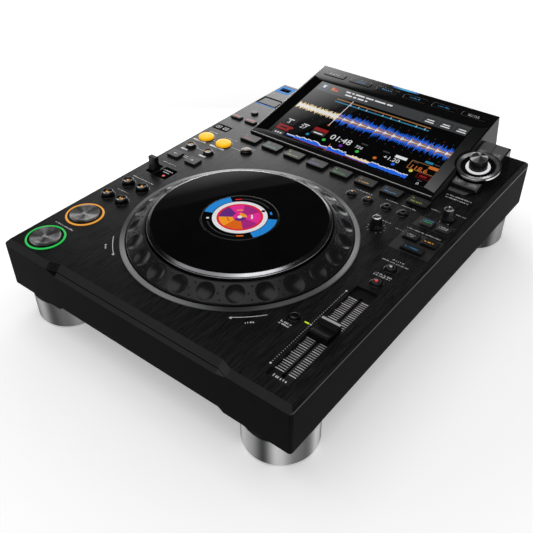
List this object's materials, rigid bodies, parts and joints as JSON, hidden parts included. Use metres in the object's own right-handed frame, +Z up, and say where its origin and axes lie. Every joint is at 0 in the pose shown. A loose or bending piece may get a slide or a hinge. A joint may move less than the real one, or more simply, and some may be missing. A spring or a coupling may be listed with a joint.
{
  "type": "tabletop dj cd player",
  "caption": "Tabletop DJ player with a large jog wheel, a tilted touch screen, press keys, knobs, a tempo fader and metal feet.",
  "frame": {"origin": "under the middle of the player's whole width and depth, on the surface that its feet stand on", "axes": "+X to the player's right, +Y from the front edge to the rear jacks, +Z up"},
  "size_m": [0.329, 0.453, 0.118],
  "materials": {
    "case_black": "matte black coating",
    "deck_black": "black, finely brushed from front to rear",
    "housing_black": "satin black",
    "foot_aluminium": "turned, bright satin",
    "trim_silver": "matte silver grey",
    "wheel_black": "satin black",
    "gloss_black": "polished black",
    "screen_glass": "polished, dark behind",
    "post_aluminium": "machined",
    "key_grey": "matte dark grey",
    "spun_aluminium": "spun, bright",
    "amber_plastic": "lit amber",
    "knob_black": "satin black",
    "socket_metal": "plated",
    "door_grey": "satin grey",
    "board_green": "circuit board",
    "supply_steel": "plain steel and board"
  },
  "bodies": {
    "player": {"base_tray": "case_black", "deck_panel": "deck_black", "rear_panel": "case_black", "display_housing": "housing_black", "display_glass": "screen_glass", "selector_pod": "gloss_black", "foot_front_left": "foot_aluminium", "foot_front_right": "foot_aluminium", "foot_rear_left": "foot_aluminium", "foot_rear_right": "foot_aluminium", "jog_trim_ring": "trim_silver", "jog_post": "post_aluminium", "jog_display": "screen_glass", "fader_tray": "housing_black", "media_block": "door_grey", "main_board": "board_green", "jack_board": "board_green", "mains_inlet": "housing_black", "power_supply": "supply_steel"},
    "jog": {"jog_wheel": "wheel_black", "jog_platter": "gloss_black"},
    "tempo_slider": {"tempo_slider": "knob_black"},
    "direction_lever": {"direction_lever": "knob_black"},
    "vinyl_speed_knob": {"vinyl_speed_knob": "knob_black"},
    "jog_adjust_knob": {"jog_adjust_knob": "knob_black"},
    "selector_shaft": {"selector_shaft": "socket_metal"},
    "selector_knob": {"selector_knob": "spun_aluminium"},
    "card_door": {"card_door": "door_grey"},
    "power_switch": {"power_switch": "housing_black"},
    "play_button": {"play_button": "spun_aluminium"},
    "cue_button": {"cue_button": "spun_aluminium"},
    "search_reverse_button": {"search_reverse_button": "gloss_black"},
    "search_forward_button": {"search_forward_button": "gloss_black"},
    "track_back_button": {"track_back_button": "gloss_black"},
    "track_next_button": {"track_next_button": "gloss_black"},
    "jump_back_button": {"jump_back_button": "key_grey"},
    "jump_forward_button": {"jump_forward_button": "key_grey"},
    "short_loop_button": {"short_loop_button": "key_grey"},
    "long_loop_button": {"long_loop_button": "key_grey"},
    "loop_in_button": {"loop_in_button": "amber_plastic"},
    "loop_out_button": {"loop_out_button": "amber_plastic"},
    "reloop_button": {"reloop_button": "key_grey"},
    "sync_master_button": {"sync_master_button": "key_grey"},
    "beat_sync_button": {"beat_sync_button": "key_grey"},
    "key_sync_button": {"key_sync_button": "key_grey"},
    "tempo_reset_button": {"tempo_reset_button": "key_grey"},
    "hot_cue_a_button": {"hot_cue_a_button": "key_grey"},
    "hot_cue_b_button": {"hot_cue_b_button": "key_grey"},
    "hot_cue_c_button": {"hot_cue_c_button": "key_grey"},
    "hot_cue_d_button": {"hot_cue_d_button": "key_grey"},
    "hot_cue_e_button": {"hot_cue_e_button": "key_grey"},
    "hot_cue_f_button": {"hot_cue_f_button": "key_grey"},
    "hot_cue_g_button": {"hot_cue_g_button": "key_grey"},
    "hot_cue_h_button": {"hot_cue_h_button": "key_grey"},
    "memory_keys": {"memory_keys": "key_grey"},
    "jog_mode_keys": {"jog_mode_keys": "key_grey"},
    "media_keys": {"media_keys": "key_grey"},
    "tempo_keys": {"tempo_keys": "key_grey"},
    "browse_keys": {"browse_keys": "key_grey"},
    "selector_keys": {"selector_keys": "key_grey"}
  },
  "joints": [
    {"name": "jog_spin", "type": "hinge", "parent": "player", "child": "jog", "pos_m": [0, -0.08439, 0.0857], "axis": [0, 0, 1], "continuous": true},
    {"name": "tempo_slide", "type": "slide", "parent": "player", "child": "tempo_slider", "axis": [0, 1, 0], "range_m": [-0.05, 0.05]},
    {"name": "direction_tilt", "type": "hinge", "parent": "player", "child": "direction_lever", "pos_m": [-0.14499, -0.05201, 0.0792], "axis": [1, 0, 0], "range_deg": [-12, 12]},
    {"name": "vinyl_speed_turn", "type": "hinge", "parent": "player", "child": "vinyl_speed_knob", "pos_m": [0.09659, -0.00238, 0.0857], "axis": [0, 0, 1], "range_deg": [-150, 150]},
    {"name": "jog_adjust_turn", "type": "hinge", "parent": "player", "child": "jog_adjust_knob", "pos_m": [0.14351, 0.05002, 0.0857], "axis": [0, 0, 1], "range_deg": [-150, 150]},
    {"name": "selector_press", "type": "slide", "parent": "player", "child": "selector_shaft", "axis": [0, 0.1864, -0.9825], "range_m": [0, 0.0008], "stiffness_N_per_m": 300, "springref_m": -0.0015},
    {"name": "selector_turn", "type": "hinge", "parent": "selector_shaft", "child": "selector_knob", "pos_m": [0.1325, 0.136, 0.09628], "axis": [0, -0.1864, 0.9825], "continuous": true},
    {"name": "card_door_lift", "type": "hinge", "parent": "player", "child": "card_door", "pos_m": [-0.1448, 0.1548, 0.0847], "axis": [-1, 0, 0], "range_deg": [0, 95]},
    {"name": "power_rock", "type": "hinge", "parent": "player", "child": "power_switch", "pos_m": [-0.08389, 0.1945, 0.0534], "axis": [1, 0, 0], "range_deg": [-6, 6]},
    {"name": "play_button_press", "type": "slide", "parent": "player", "child": "play_button", "axis": [0, 0, -1], "range_m": [0, 0.001], "stiffness_N_per_m": 250, "springref_m": -0.001},
    {"name": "cue_button_press", "type": "slide", "parent": "player", "child": "cue_button", "axis": [0, 0, -1], "range_m": [0, 0.001], "stiffness_N_per_m": 250, "springref_m": -0.001},
    {"name": "search_reverse_button_press", "type": "slide", "parent": "player", "child": "search_reverse_button", "axis": [0, 0, -1], "range_m": [0, 0.001], "stiffness_N_per_m": 250, "springref_m": -0.001},
    {"name": "search_forward_button_press", "type": "slide", "parent": "player", "child": "search_forward_button", "axis": [0, 0, -1], "range_m": [0, 0.001], "stiffness_N_per_m": 250, "springref_m": -0.001},
    {"name": "track_back_button_press", "type": "slide", "parent": "player", "child": "track_back_button", "axis": [0, 0, -1], "range_m": [0, 0.001], "stiffness_N_per_m": 250, "springref_m": -0.001},
    {"name": "track_next_button_press", "type": "slide", "parent": "player", "child": "track_next_button", "axis": [0, 0, -1], "range_m": [0, 0.001], "stiffness_N_per_m": 250, "springref_m": -0.001},
    {"name": "jump_back_button_press", "type": "slide", "parent": "player", "child": "jump_back_button", "axis": [0, 0, -1], "range_m": [0, 0.001], "stiffness_N_per_m": 250, "springref_m": -0.001},
    {"name": "jump_forward_button_press", "type": "slide", "parent": "player", "child": "jump_forward_button", "axis": [0, 0, -1], "range_m": [0, 0.001], "stiffness_N_per_m": 250, "springref_m": -0.001},
    {"name": "short_loop_button_press", "type": "slide", "parent": "player", "child": "short_loop_button", "axis": [0, 0, -1], "range_m": [0, 0.001], "stiffness_N_per_m": 250, "springref_m": -0.001},
    {"name": "long_loop_button_press", "type": "slide", "parent": "player", "child": "long_loop_button", "axis": [0, 0, -1], "range_m": [0, 0.001], "stiffness_N_per_m": 250, "springref_m": -0.001},
    {"name": "loop_in_button_press", "type": "slide", "parent": "player", "child": "loop_in_button", "axis": [0, 0, -1], "range_m": [0, 0.001], "stiffness_N_per_m": 250, "springref_m": -0.001},
    {"name": "loop_out_button_press", "type": "slide", "parent": "player", "child": "loop_out_button", "axis": [0, 0, -1], "range_m": [0, 0.001], "stiffness_N_per_m": 250, "springref_m": -0.001},
    {"name": "reloop_button_press", "type": "slide", "parent": "player", "child": "reloop_button", "axis": [0, 0, -1], "range_m": [0, 0.001], "stiffness_N_per_m": 250, "springref_m": -0.001},
    {"name": "sync_master_button_press", "type": "slide", "parent": "player", "child": "sync_master_button", "axis": [0, 0, -1], "range_m": [0, 0.001], "stiffness_N_per_m": 250, "springref_m": -0.001},
    {"name": "beat_sync_button_press", "type": "slide", "parent": "player", "child": "beat_sync_button", "axis": [0, 0, -1], "range_m": [0, 0.001], "stiffness_N_per_m": 250, "springref_m": -0.001},
    {"name": "key_sync_button_press", "type": "slide", "parent": "player", "child": "key_sync_button", "axis": [0, 0, -1], "range_m": [0, 0.001], "stiffness_N_per_m": 250, "springref_m": -0.001},
    {"name": "tempo_reset_button_press", "type": "slide", "parent": "player", "child": "tempo_reset_button", "axis": [0, 0, -1], "range_m": [0, 0.001], "stiffness_N_per_m": 250, "springref_m": -0.001},
    {"name": "hot_cue_a_button_press", "type": "slide", "parent": "player", "child": "hot_cue_a_button", "axis": [0, 0, -1], "range_m": [0, 0.001], "stiffness_N_per_m": 250, "springref_m": -0.001},
    {"name": "hot_cue_b_button_press", "type": "slide", "parent": "player", "child": "hot_cue_b_button", "axis": [0, 0, -1], "range_m": [0, 0.001], "stiffness_N_per_m": 250, "springref_m": -0.001},
    {"name": "hot_cue_c_button_press", "type": "slide", "parent": "player", "child": "hot_cue_c_button", "axis": [0, 0, -1], "range_m": [0, 0.001], "stiffness_N_per_m": 250, "springref_m": -0.001},
    {"name": "hot_cue_d_button_press", "type": "slide", "parent": "player", "child": "hot_cue_d_button", "axis": [0, 0, -1], "range_m": [0, 0.001], "stiffness_N_per_m": 250, "springref_m": -0.001},
    {"name": "hot_cue_e_button_press", "type": "slide", "parent": "player", "child": "hot_cue_e_button", "axis": [0, 0, -1], "range_m": [0, 0.001], "stiffness_N_per_m": 250, "springref_m": -0.001},
    {"name": "hot_cue_f_button_press", "type": "slide", "parent": "player", "child": "hot_cue_f_button", "axis": [0, 0, -1], "range_m": [0, 0.001], "stiffness_N_per_m": 250, "springref_m": -0.001},
    {"name": "hot_cue_g_button_press", "type": "slide", "parent": "player", "child": "hot_cue_g_button", "axis": [0, 0, -1], "range_m": [0, 0.001], "stiffness_N_per_m": 250, "springref_m": -0.001},
    {"name": "hot_cue_h_button_press", "type": "slide", "parent": "player", "child": "hot_cue_h_button", "axis": [0, 0, -1], "range_m": [0, 0.001], "stiffness_N_per_m": 250, "springref_m": -0.001},
    {"name": "memory_keys_press", "type": "slide", "parent": "player", "child": "memory_keys", "axis": [0, 0, -1], "range_m": [0, 0.001], "stiffness_N_per_m": 250, "springref_m": -0.001},
    {"name": "jog_mode_keys_press", "type": "slide", "parent": "player", "child": "jog_mode_keys", "axis": [0, 0, -1], "range_m": [0, 0.001], "stiffness_N_per_m": 250, "springref_m": -0.001},
    {"name": "media_keys_press", "type": "slide", "parent": "player", "child": "media_keys", "axis": [0, 0, -1], "range_m": [0, 0.001], "stiffness_N_per_m": 250, "springref_m": -0.001},
    {"name": "tempo_keys_press", "type": "slide", "parent": "player", "child": "tempo_keys", "axis": [0, 0, -1], "range_m": [0, 0.001], "stiffness_N_per_m": 250, "springref_m": -0.001},
    {"name": "browse_keys_press", "type": "slide", "parent": "player", "child": "browse_keys", "axis": [0, 0.1864, -0.9825], "range_m": [0, 0.0008], "stiffness_N_per_m": 300, "springref_m": -0.001},
    {"name": "selector_keys_press", "type": "slide", "parent": "player", "child": "selector_keys", "axis": [0, 0.1864, -0.9825], "range_m": [0, 0.0008], "stiffness_N_per_m": 300, "springref_m": -0.001}
  ]
}
